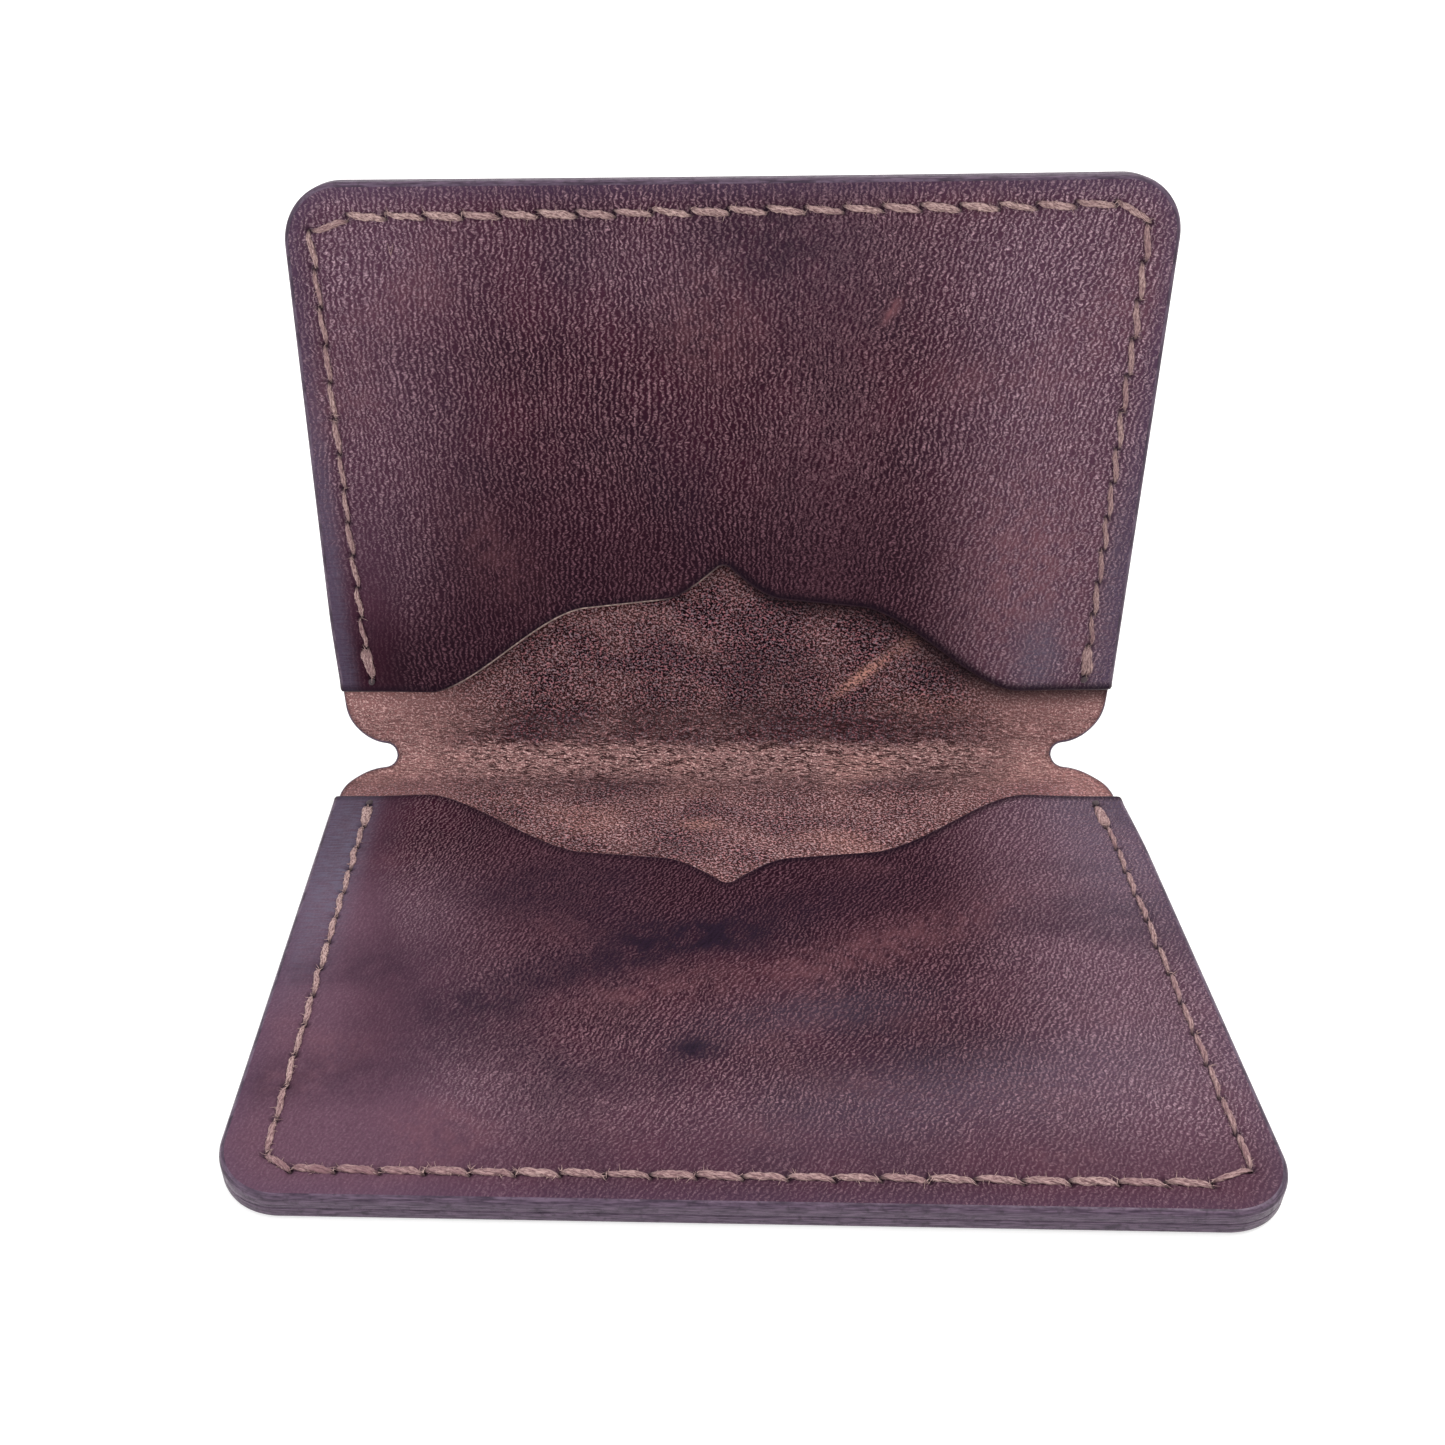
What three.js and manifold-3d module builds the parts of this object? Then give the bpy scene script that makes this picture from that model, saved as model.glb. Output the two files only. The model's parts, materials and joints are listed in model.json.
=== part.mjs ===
// Bifold leather business card case, shown half open: one leaf lies flat and the other stands behind it.
// One waisted piece of cover leather runs through both leaves and bends at the fold. Each leaf carries a
// card pocket, a second piece of leather with a bracket-shaped mouth, sewn to the cover on three sides
// with one saddle-stitched thread.
//
// Millimetres, +Z up. The origin is the middle of the lying leaf's underside, X runs along the fold and
// +Y points from the lying leaf towards the fold. The cover is split at its two bend lines, so that the
// fold strip can turn between the leaves.

import * as THREE from "three";
import { mergeVertices } from "three/addons/utils/BufferGeometryUtils.js";
import Module from "manifold-3d";

// The leather pieces.
const WIDTH = 102; // along the fold
const LEATHER = 1.3; // thickness of every piece of leather
const CARD_SLOT = 0.4; // room left between pocket and cover for a card
const LEAF_LENGTH = 71.6; // bend line to outer edge
const POCKET_DEPTH = 63.5; // outer edge to the mouth's shoulders
const CORNER_RADIUS = 7;

// The fold.
const FOLD_LENGTH = 4.2; // between the two bend lines: two pockets and a little air when closed
const BEND_ANGLE = 41.75; // degrees at each bend line, which opens the case to 96.5 degrees
const BEND_GAP = 0.3; // slit between the solids at a bend line
const NOTCH_DEPTH = 6.7; // how far the cover is waisted at each end of the fold
const NOTCH_RADIUS = 1.7; // round bottom of the notch
const FLARE_RADIUS = 5.7; // convex shoulder between notch and side edge

// The pocket mouth's two curves on one side, each by its four Bezier points. A point is its distance from
// the middle and its depth below the shoulders. A straight plateau joins the curves.
const POINT_CURVE = [[0, 18.1], [2.25, 16.1], [5, 13.5], [7.5, 13.1]]; // tip of the central point outwards
const RISE_CURVE = [[17.5, 12], [23.5, 11.4], [32.6, 0.45], [38.6, 0]]; // plateau to the straight shoulder

// The seam.
const STITCH_PITCH = 4.33;
const END_STITCHES = 20; // along the outer edge
const SIDE_STITCHES = 13; // along each side
const SEAM_INSET = 3.65;
const HOLE_SIZE = 1.1; // square awl hole, diamond to the seam
const THREAD_CORE = 0.5; // thread inside a hole
const THREAD_WIDTH = 0.8; // flattened thread of a stitch
const THREAD_THICKNESS = 0.4;
const STITCH_SLANT = 7; // degrees to the seam line
const GROOVE_WIDTH = 1.6;
const FRONT_GROOVE = 0.5;
const BACK_GROOVE = 0.7;
const BACK_RECESS = 0.1; // the back stitches lie this far below the cover's surface
const CORE_LAP = 0.3; // how far a hole's thread reaches into the stitches at its ends

const CUT_OVERRUN = 1; // how far every cut runs past the leather
const CURVE_STEPS = 8;
const POCKET_TOP = CARD_SLOT + LEATHER;

const manifold = await Module();
manifold.setup();

// A three.js geometry as a solid that can be joined and cut.
function toSolid(geometry) {
  const bare = geometry.clone();
  bare.deleteAttribute("normal");
  bare.deleteAttribute("uv");
  const merged = mergeVertices(bare, 1e-4);
  return new manifold.Manifold(
    new manifold.Mesh({
      numProp: 3,
      vertProperties: new Float32Array(merged.attributes.position.array),
      triVerts: new Uint32Array(merged.index.array),
    }),
  );
}

function toGeometry(solid) {
  const mesh = solid.getMesh();
  const geometry = new THREE.BufferGeometry();
  geometry.setAttribute("position", new THREE.BufferAttribute(mesh.vertProperties, 3));
  geometry.setIndex(new THREE.BufferAttribute(mesh.triVerts, 1));
  return geometry;
}

// A flat outline as a plate between two heights.
function plate(shape, bottom, top) {
  const geometry = new THREE.ExtrudeGeometry(shape, {
    depth: top - bottom,
    bevelEnabled: false,
    curveSegments: CURVE_STEPS,
  });
  return toSolid(geometry.translate(0, 0, bottom));
}

// A block by its size and middle, turned about Z.
function block(size, middle, turn = 0) {
  const geometry = new THREE.BoxGeometry(...size);
  return toSolid(geometry.rotateZ(turn).translate(...middle));
}

function joined(solids) {
  return solids.reduce((whole, solid) => whole.add(solid));
}

// Shapes and seams are drawn in a leaf's own frame: the bend line is y = 0, the outer edge is
// y = -LEAF_LENGTH, and the flesh side of the cover is z = 0.
const OUTER_Y = -LEAF_LENGTH;
const SHOULDER_Y = OUTER_Y + POCKET_DEPTH;

// The pocket's rounded outer end, from the right side round to the left side.
function addOuterEnd(shape) {
  const half = WIDTH / 2;
  const arcY = OUTER_Y + CORNER_RADIUS;
  shape.lineTo(half, arcY);
  shape.absarc(half - CORNER_RADIUS, arcY, CORNER_RADIUS, 0, -Math.PI / 2, true);
  shape.lineTo(-half + CORNER_RADIUS, OUTER_Y);
  shape.absarc(-half + CORNER_RADIUS, arcY, CORNER_RADIUS, -Math.PI / 2, -Math.PI, true);
}

// A quarter of the cover's outline, with the middle of the fold at the origin: the small round notch,
// the convex flare, the side and half of the outer edge.
function coverQuarter() {
  const flareX = WIDTH / 2 - FLARE_RADIUS;
  const notchX = WIDTH / 2 - NOTCH_DEPTH + NOTCH_RADIUS;
  const flareY = -Math.sqrt((FLARE_RADIUS + NOTCH_RADIUS) ** 2 - (notchX - flareX) ** 2);
  const tangent = Math.atan2(-flareY, notchX - flareX);
  const outerY = -FOLD_LENGTH / 2 - LEAF_LENGTH;
  const path = new THREE.Path();
  path.moveTo(notchX - NOTCH_RADIUS, 0);
  path.absarc(notchX, 0, NOTCH_RADIUS, Math.PI, Math.PI + tangent, false);
  path.absarc(flareX, flareY, FLARE_RADIUS, tangent, 0, true);
  path.lineTo(WIDTH / 2, outerY + CORNER_RADIUS);
  path.absarc(WIDTH / 2 - CORNER_RADIUS, outerY + CORNER_RADIUS, CORNER_RADIUS, 0, -Math.PI / 2, true);
  path.lineTo(0, outerY);
  return path.getPoints(CURVE_STEPS / 2);
}

function coverShape() {
  const quarter = coverQuarter();
  const back = quarter.slice(1, -1).reverse();
  const mirrored = (points, x, y) => points.map((point) => new THREE.Vector2(x * point.x, y * point.y));
  return new THREE.Shape([
    ...quarter,
    ...mirrored(back, -1, 1),
    ...mirrored(quarter, -1, -1),
    ...mirrored(back, 1, -1),
  ]);
}

// The pocket's mouth on one side of the middle: point, plateau, S-shaped rise and straight shoulder.
function mouthCurves(side) {
  const at = ([x, depth]) => new THREE.Vector2(side * x, SHOULDER_Y - depth);
  return [POINT_CURVE, RISE_CURVE].map((points) => new THREE.CubicBezierCurve(...points.map(at)));
}

function pocketShape() {
  const points = [];
  for (const curve of mouthCurves(-1).reverse()) points.push(...curve.getPoints(CURVE_STEPS).reverse());
  points.pop();
  for (const curve of mouthCurves(1)) points.push(...curve.getPoints(CURVE_STEPS));
  const shape = new THREE.Shape();
  shape.moveTo(-WIDTH / 2, SHOULDER_Y);
  for (const point of points) shape.lineTo(point.x, point.y);
  shape.lineTo(WIDTH / 2, SHOULDER_Y);
  addOuterEnd(shape);
  return shape;
}

// Stitch holes in order: up one side from the mouth, one slanting step round the corner, along the
// outer edge, and back down the other side.
function seamHoles() {
  const sideX = WIDTH / 2 - SEAM_INSET;
  const endX = (END_STITCHES * STITCH_PITCH) / 2;
  const endY = OUTER_Y + SEAM_INSET;
  const sideY = endY + Math.sqrt(STITCH_PITCH ** 2 - (sideX - endX) ** 2);
  const holes = [];
  for (let i = SIDE_STITCHES; i >= 0; i--) holes.push(new THREE.Vector2(-sideX, sideY + i * STITCH_PITCH));
  for (let i = 0; i <= END_STITCHES; i++) holes.push(new THREE.Vector2(-endX + i * STITCH_PITCH, endY));
  for (let i = 0; i <= SIDE_STITCHES; i++) holes.push(new THREE.Vector2(sideX, sideY + i * STITCH_PITCH));
  return holes;
}

const HOLES = seamHoles();

// One block along each stitch, between two heights.
function alongSeam(width, bottom, top, slant) {
  const turn = THREE.MathUtils.degToRad(slant);
  return joined(
    HOLES.slice(1).map((hole, i) => {
      const step = hole.clone().sub(HOLES[i]);
      const middle = hole.clone().add(HOLES[i]).multiplyScalar(0.5);
      const size = [step.length() + width, width, top - bottom];
      return block(size, [middle.x, middle.y, (top + bottom) / 2], step.angle() + turn);
    }),
  );
}

// One square post in each stitch hole, a corner of the square pointing along the seam.
function throughHoles(width, bottom, top) {
  const size = [width, width, top - bottom];
  return joined(HOLES.map((hole) => block(size, [hole.x, hole.y, (top + bottom) / 2], Math.PI / 4)));
}

const holeCutter = throughHoles(HOLE_SIZE, -LEATHER - CUT_OVERRUN, POCKET_TOP + CUT_OVERRUN);

// A stretch of the cover between two distances from the lower bend line.
function coverStretch(from, to) {
  const cover = plate(coverShape(), -LEATHER, 0).translate([0, FOLD_LENGTH / 2, 0]);
  const size = [WIDTH + 2 * CUT_OVERRUN, to - from, LEATHER + 2 * CUT_OVERRUN];
  return cover.intersect(block(size, [0, (from + to) / 2, -LEATHER / 2]));
}

function coverLeafSolid() {
  const groove = alongSeam(GROOVE_WIDTH, -LEATHER - CUT_OVERRUN, BACK_GROOVE - LEATHER, 0);
  return coverStretch(OUTER_Y - CUT_OVERRUN, -BEND_GAP / 2).subtract(groove).subtract(holeCutter);
}

function pocketSolid() {
  const groove = alongSeam(GROOVE_WIDTH, POCKET_TOP - FRONT_GROOVE, POCKET_TOP + CUT_OVERRUN, 0);
  return plate(pocketShape(), CARD_SLOT, POCKET_TOP).subtract(groove).subtract(holeCutter);
}

// Slanting stitches on the pocket and a straight run behind the cover, joined through every hole.
function threadSolid() {
  const backBottom = BACK_RECESS - LEATHER;
  const frontTop = POCKET_TOP + THREAD_THICKNESS / 2;
  const front = alongSeam(THREAD_WIDTH, frontTop - THREAD_THICKNESS, frontTop, STITCH_SLANT);
  const back = alongSeam(THREAD_WIDTH, backBottom, backBottom + THREAD_THICKNESS, 0);
  const coreBottom = backBottom + THREAD_THICKNESS - CORE_LAP;
  const coreTop = frontTop - THREAD_THICKNESS + CORE_LAP;
  return joined([front, back, throughHoles(THREAD_CORE, coreBottom, coreTop)]);
}

function leather(color) {
  return new THREE.MeshStandardMaterial({ color, roughness: 0.55, metalness: 0 });
}

const coverLeather = leather(0x5a3b41);
const pocketLeather = leather(0x4c3140);
const linenThread = new THREE.MeshStandardMaterial({ color: 0x8a6a66, roughness: 0.85, metalness: 0 });

function part(name, geometry, material) {
  const mesh = new THREE.Mesh(geometry, material);
  mesh.name = name;
  return mesh;
}

const coverLeafGeometry = toGeometry(coverLeafSolid());
const pocketGeometry = toGeometry(pocketSolid());
const threadGeometry = toGeometry(threadSolid());

// A leaf in its own frame: the two leaves are cut and sewn alike.
function leaf(prefix) {
  const group = new THREE.Group();
  group.add(
    part(prefix + "_cover", coverLeafGeometry, coverLeather),
    part(prefix + "_pocket", pocketGeometry, pocketLeather),
    part(prefix + "_seam_thread", threadGeometry, linenThread),
  );
  return group;
}

const lowerLeaf = leaf("lower");
const fold = new THREE.Group();
const upperLeaf = new THREE.Group();
const bend = THREE.MathUtils.degToRad(BEND_ANGLE);

lowerLeaf.position.set(0, LEAF_LENGTH / 2, LEATHER);

// The upper leaf is the lower one turned end for end and raised at the far bend line.
upperLeaf.position.set(0, FOLD_LENGTH, 0);
upperLeaf.rotation.x = bend;
const turned = leaf("upper");
turned.rotation.z = Math.PI;
upperLeaf.add(turned);

fold.position.copy(lowerLeaf.position);
fold.rotation.x = bend;
const foldStrip = toGeometry(coverStretch(BEND_GAP / 2, FOLD_LENGTH - BEND_GAP / 2));
fold.add(part("fold_strip", foldStrip, coverLeather), upperLeaf);

const cardCase = new THREE.Group();
cardCase.name = "business_card_case";
cardCase.add(lowerLeaf, fold);

export default cardCase;
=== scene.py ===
"""A bifold leather business card case, half open: one leaf lies flat and the other stands behind it.

Shapes are worked out in millimetres in a leaf's own frame, the one that the design uses: the bend line is
y = 0, the outer edge lies at negative y, and z is the height above the cover's flesh side. placed() turns
them into metres in the row frame and rolls the leather smoothly round the fold.
"""

import json
import math

import bmesh
import bpy
import numpy as np
from mathutils import Matrix, Vector, noise
from mathutils.geometry import delaunay_2d_cdt
from mathutils.kdtree import KDTree


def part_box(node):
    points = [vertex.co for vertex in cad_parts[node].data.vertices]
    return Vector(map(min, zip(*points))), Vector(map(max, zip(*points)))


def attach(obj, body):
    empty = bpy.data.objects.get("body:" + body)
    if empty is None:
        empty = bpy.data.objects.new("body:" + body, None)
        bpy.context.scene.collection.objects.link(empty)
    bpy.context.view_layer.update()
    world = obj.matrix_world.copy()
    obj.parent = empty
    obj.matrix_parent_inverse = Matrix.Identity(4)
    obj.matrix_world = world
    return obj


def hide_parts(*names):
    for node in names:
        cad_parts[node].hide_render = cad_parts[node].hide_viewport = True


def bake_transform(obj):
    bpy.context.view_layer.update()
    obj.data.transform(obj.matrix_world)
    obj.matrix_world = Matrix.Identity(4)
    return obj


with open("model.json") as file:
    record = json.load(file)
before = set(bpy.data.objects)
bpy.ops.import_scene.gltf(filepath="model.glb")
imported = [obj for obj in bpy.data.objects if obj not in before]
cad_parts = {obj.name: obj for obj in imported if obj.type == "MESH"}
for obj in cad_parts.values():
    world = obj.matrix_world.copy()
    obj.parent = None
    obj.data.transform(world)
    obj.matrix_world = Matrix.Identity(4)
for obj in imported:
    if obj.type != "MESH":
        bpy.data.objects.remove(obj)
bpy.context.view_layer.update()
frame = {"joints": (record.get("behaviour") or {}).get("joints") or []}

# ---------------------------------------------------------------- sizes, in millimetres
MM = 0.001
cover_low, cover_high = (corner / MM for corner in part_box("lower_cover"))
pocket_low, pocket_high = (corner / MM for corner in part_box("lower_pocket"))
joint_at = {joint["name"]: Vector(joint["pos_m"]) / MM for joint in frame["joints"]}
LOWER_BEND = joint_at["lower_bend"]
UPPER_BEND = joint_at["upper_bend"]
STRIP = UPPER_BEND - LOWER_BEND
BEND = math.atan2(STRIP.z, STRIP.y)
HALF_FOLD = STRIP.length / 2
HALF_WIDTH = (cover_high.x - cover_low.x) / 2
OUTER_Y = cover_low.y - LOWER_BEND.y
MOUTH_Y = OUTER_Y + pocket_high.y - pocket_low.y
POCKET_TOP = pocket_high.z - LOWER_BEND.z
COVER_BACK = cover_low.z - LOWER_BEND.z

CORNER_RADIUS = 7.0
NOTCH_DEPTH = 6.7
NOTCH_RADIUS = 1.7
FLARE_RADIUS = 5.7
LAYER_LINE = 0.2  # height at which pocket and cover meet in the sewn edge
LAYER_GAP = 0.02  # the hairline between them
CARD_SLOT = 0.4
GAPE = 0.21  # how much further the pocket stands off the cover near its mouth
ROLL_RADIUS = HALF_FOLD / math.tan(BEND / 2)  # inside radius of the rolled fold

# The mouth's curves as (distance from the middle, drop below the shoulders).
POINT_CURVE = ((0.0, 18.1), (2.25, 16.1), (5.0, 13.5), (7.5, 13.1))
RISE_CURVE = ((17.5, 12.0), (23.5, 11.4), (32.6, 0.45), (38.6, 0.0))
TIP_RADIUS = 0.35

# How far the cut edges are rounded over.
OUTER_ROUND = 0.55
INNER_ROUND = 0.12
WAIST_ROUND = (0.35, 0.3)  # underneath and on top
MOUTH_ROUND = (0.2, 0.26)
PLAIN_CUT = 0.0
SHOULDER_ROUND = 0.4  # in plan

STITCH_PITCH = 4.33
SIDE_STITCHES = 13
ROW_STITCHES = 20
MOUTH_HOLE = 2.03  # from a shoulder to the seam's first hole
HOLE_STRAY = 0.07  # how far a hole is from its place in the row
# How far the seam is from the edge, at the start and end of each run in sewing order.
SEAM_INSETS = {
    "lower": ((4.9, 4.9), (3.45, 3.4), (3.65, 3.65)),
    "upper": ((3.75, 3.65), (3.2, 3.8), (3.2, 4.4)),
}
# How much wider each leaf is at its +x side, and how much longer at its -x and +x ends.
OUT_OF_SQUARE = {"lower": (0.45, 0.25, 0.5, 1.0), "upper": (0.4, 0.1, 0.75, 1.5)}
# Which way the awl's slits lean to each run of the seam.
SLIT_LEANS = {"lower": (-1, 1, 1), "upper": (-1, 1, -1)}
# How dirty each run of thread is, from 0 to 1, and how thick it has stayed.
THREAD_SOIL = {"lower": (0.1, 0.5, 0.65), "upper": (0.5, 0.2, 0.4)}
THREAD_SWELL = {"lower": (0.84, 0.98, 0.76), "upper": (0.78, 0.98, 0.8)}
SLIT_LEAN = 108.0  # degrees
SLIT_REACH = {"lower": (0.05, 0.3, 0.2), "upper": (0.25, 0.46, 0.14)}
THREAD_PLY = 0.235  # radius of one of the thread's three plies
PLIES = 3
LINT_AT = (38.7, -63.5)  # a wisp of fluff that lies on the upper pocket

# How far apart the meshes' points are, on the outlines and on each part of the faces.
OUTLINE_STEP = 0.4
FOLD_STEP = 0.19
FINE_STEP = 0.62
SEAM_STEP = 0.3
HIDDEN_STEP = 2.6
BACK_STEP = 0.9

LEAVES = {
    "lower": Matrix.Translation(LOWER_BEND),
    "upper": Matrix.Translation(UPPER_BEND)
    @ Matrix.Rotation(2 * BEND, 4, "X")
    @ Matrix.Rotation(math.pi, 4, "Z"),
}


# ---------------------------------------------------------------- camera, lights and floor
CAMERA_AT = Vector((-6.5, -121.8, 113.0)) * MM
CAMERA_DOWN = math.radians(33.38)
CAMERA_YAW = math.radians(3.03)
CAMERA_ROLL = math.radians(-1.77)
CAMERA_LENS = 35.43
SENSOR_WIDTH = 36.0
CAMERA_SHIFT = 0.0779


def make_camera():
    data = bpy.data.cameras.new("camera")
    data.lens = CAMERA_LENS
    data.sensor_width = SENSOR_WIDTH
    data.shift_x = CAMERA_SHIFT
    data.clip_start = 0.005
    data.clip_end = 20.0
    camera = bpy.data.objects.new("camera", data)
    turn = Matrix.Rotation(CAMERA_YAW, 4, "Z") @ Matrix.Rotation(math.pi / 2 - CAMERA_DOWN, 4, "X")
    camera.matrix_world = Matrix.Translation(CAMERA_AT) @ turn @ Matrix.Rotation(CAMERA_ROLL, 4, "Z")
    bpy.context.scene.collection.objects.link(camera)
    bpy.context.scene.camera = camera


def soft_light(name, at, power, size, colour):
    """A square softbox that faces the middle of the case."""
    data = bpy.data.lights.new(name, "AREA")
    data.energy = power
    data.size = size
    data.color = colour
    light = bpy.data.objects.new(name, data)
    light.location = at
    aim = Vector((0, 0.015, 0.025)) - light.location
    light.rotation_mode = "QUATERNION"
    light.rotation_quaternion = aim.to_track_quat("-Z", "Y")
    bpy.context.scene.collection.objects.link(light)


def make_studio():
    """A white room with a soft key light behind on the right and a weaker, cooler fill on the left."""
    world = bpy.data.worlds.new("studio")
    world.use_nodes = True
    world.node_tree.nodes["Background"].inputs["Color"].default_value = (1.0, 1.0, 1.0, 1.0)
    world.node_tree.nodes["Background"].inputs["Strength"].default_value = 1.0
    bpy.context.scene.world = world
    bpy.context.scene.view_settings.view_transform = "Standard"
    soft_light("key", (0.34, 0.18, 0.62), 3.2, 0.35, (1.0, 0.97, 0.95))
    soft_light("fill", (-0.45, -0.25, 0.4), 1.0, 0.4, (0.9, 0.94, 1.0))


FLOOR_REACH = 6.0  # metres
FLOOR_GAP = 0.00006  # metres, so that the leather's slight waves don't cut the floor


def make_floor():
    mesh = bpy.data.meshes.new("floor")
    reach = FLOOR_REACH
    corners = [(-reach, -reach, 0), (reach, -reach, 0), (reach, reach, 0), (-reach, reach, 0)]
    mesh.from_pydata(corners, [], [(0, 1, 2, 3)])
    floor = bpy.data.objects.new("floor", mesh)
    floor.location.z = -FLOOR_GAP
    bpy.context.scene.collection.objects.link(floor)
    finish = Finish("pale_floor", {"Roughness": 0.9, "Specular IOR Level": 0.1})
    paper = finish.noise(finish.node("ShaderNodeTexCoord").outputs["Object"], 900.0)
    finish.colour(finish.mix(paper, tone(214, 214, 213), tone(220, 220, 218)))
    finish.shader.inputs["Emission Color"].default_value = (1.0, 1.0, 0.99, 1.0)
    finish.shader.inputs["Emission Strength"].default_value = 0.5
    mesh.materials.append(finish.material)


# ---------------------------------------------------------------- node materials
def tone(red, green, blue):
    """An sRGB colour from 0 to 255 as a linear one."""
    shares = (channel / 255 for channel in (red, green, blue))
    return tuple(c / 12.92 if c <= 0.04045 else ((c + 0.055) / 1.055) ** 2.4 for c in shares) + (1.0,)


class Finish:
    """A Principled material made node by node. Each call adds a node and gives back its output."""

    def __init__(self, name, constants):
        self.material = bpy.data.materials.new(name)
        self.material.use_nodes = True
        self.tree = self.material.node_tree
        self.shader = self.tree.nodes["Principled BSDF"]
        for socket, value in constants.items():
            self.shader.inputs[socket].default_value = value

    def node(self, kind, settings=None, inputs=None):
        node = self.tree.nodes.new(kind)
        for key, value in (settings or {}).items():
            setattr(node, key, value)
        for socket, value in (inputs or {}).items():
            if isinstance(value, bpy.types.NodeSocket):
                self.tree.links.new(value, node.inputs[socket])
            else:
                node.inputs[socket].default_value = value
        return node

    def field(self, name):
        """A number that the mesh holds at each point."""
        return self.node("ShaderNodeAttribute", {"attribute_name": name}).outputs["Fac"]

    def place(self, name="flat"):
        """A place that the mesh holds at each point: in the leaf's own frame, unless another is named."""
        return self.node("ShaderNodeAttribute", {"attribute_name": name}).outputs["Vector"]

    def calc(self, operation, *values):
        return self.node("ShaderNodeMath", {"operation": operation}, dict(enumerate(values))).outputs[0]

    def product(self, first, *others):
        """All the values multiplied together."""
        for value in others:
            first = self.calc("MULTIPLY", first, value)
        return first

    def stretched(self, where, scale, turn=0.0):
        """The same place, turned in the leaf's plane and then scaled along each axis."""
        if turn:
            where = self.node(
                "ShaderNodeVectorRotate", {"rotation_type": "Z_AXIS"}, {"Vector": where, "Angle": turn}
            ).outputs[0]
        return self.node("ShaderNodeVectorMath", {"operation": "MULTIPLY"}, {0: where, 1: scale}).outputs[0]

    def wandering(self, where, scale, amount):
        """The same place, pushed about by noise of up to half the amount."""
        push = self.node("ShaderNodeTexNoise", None, {"Vector": where, "Scale": scale, "Detail": 1.0})
        spread = self.node(
            "ShaderNodeVectorMath",
            {"operation": "MULTIPLY_ADD"},
            {0: push.outputs["Color"], 1: (amount, amount, 0.0), 2: where},
        )
        return spread.outputs[0]

    def noise(self, where, scale, detail=2.0, roughness=0.5):
        inputs = {"Vector": where, "Scale": scale, "Detail": detail, "Roughness": roughness}
        return self.node("ShaderNodeTexNoise", None, inputs).outputs["Fac"]

    def ramp(self, value, start, end, low=0.0, high=1.0):
        """Goes smoothly from low to high as value goes from start to end."""
        return self.node(
            "ShaderNodeMapRange",
            {"interpolation_type": "SMOOTHSTEP"},
            {"Value": value, "From Min": start, "From Max": end, "To Min": low, "To Max": high},
        ).outputs["Result"]

    def mix(self, share, first, second):
        """A colour that goes from the first to the second as share goes from 0 to 1."""
        inputs = {0: share, 6: first, 7: second}
        return self.node("ShaderNodeMix", {"data_type": "RGBA"}, inputs).outputs[2]

    def bump(self, height, depth, below=None):
        """Relief that is depth millimetres from a height of 0 to 1, on top of any relief below it."""
        inputs = {"Height": height, "Distance": depth * MM, "Strength": 1.0}
        if below is not None:
            inputs["Normal"] = below
        return self.node("ShaderNodeBump", None, inputs).outputs["Normal"]

    def colour(self, value):
        self.tree.links.new(value, self.shader.inputs["Base Color"])

    def roughness(self, value):
        self.tree.links.new(value, self.shader.inputs["Roughness"])

    def relief(self, value):
        self.tree.links.new(value, self.shader.inputs["Normal"])


ROW_SWAY = 2.0  # how far the rows of ridges wander sideways, in rows


def ridges(finish, where, size, turn):
    """The fine wavy ridges of the grain, from 0 to 1. size is their spacing and their length."""
    across, along = size
    counted = finish.stretched(where, (1 / across, 1.0, 0.0), turn)
    rows = finish.node("ShaderNodeSeparateXYZ", None, {0: counted}).outputs[0]
    sway = finish.noise(finish.stretched(where, (0.7 / across, 1.6 / along, 0.0), turn), 1.0, 1.0)
    phase = finish.calc("MULTIPLY_ADD", sway, ROW_SWAY, rows)
    wavy = finish.calc("SINE", finish.calc("MULTIPLY", phase, 2 * math.pi))
    beads = finish.noise(finish.stretched(where, (2.4 / across, 6.2 / along, 0.0), turn), 1.0, 2.0, 0.6)
    return finish.product(finish.ramp(wavy, -0.5, 0.85), finish.ramp(beads, 0.38, 0.6, 0.1, 1.0))


# For each pocket: the ridges' spacing and length in millimetres, the two ways they run in radians, the
# colours of its ground under painted sheen and of its crests with their painted highlight, how strongly the
# ridges show and how pale the margin is with its painted sheen.
GRAINS = {
    "upper": {
        "size": (0.64, 1.15),
        "turn": 0.0,
        "leaning": 0.2,
        "sheen_ground": tone(79, 50, 67),
        "crest_highlight": tone(198, 163, 176),
        "strength": 1.1,
        "margin": 0.4,
    },
    "lower": {
        "size": (0.5, 1.1),
        "turn": 0.3,
        "leaning": 0.52,
        "sheen_ground": tone(92, 64, 79),
        "crest_highlight": tone(184, 152, 166),
        "strength": 1.15,
        "margin": 0.2,
    },
}


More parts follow.
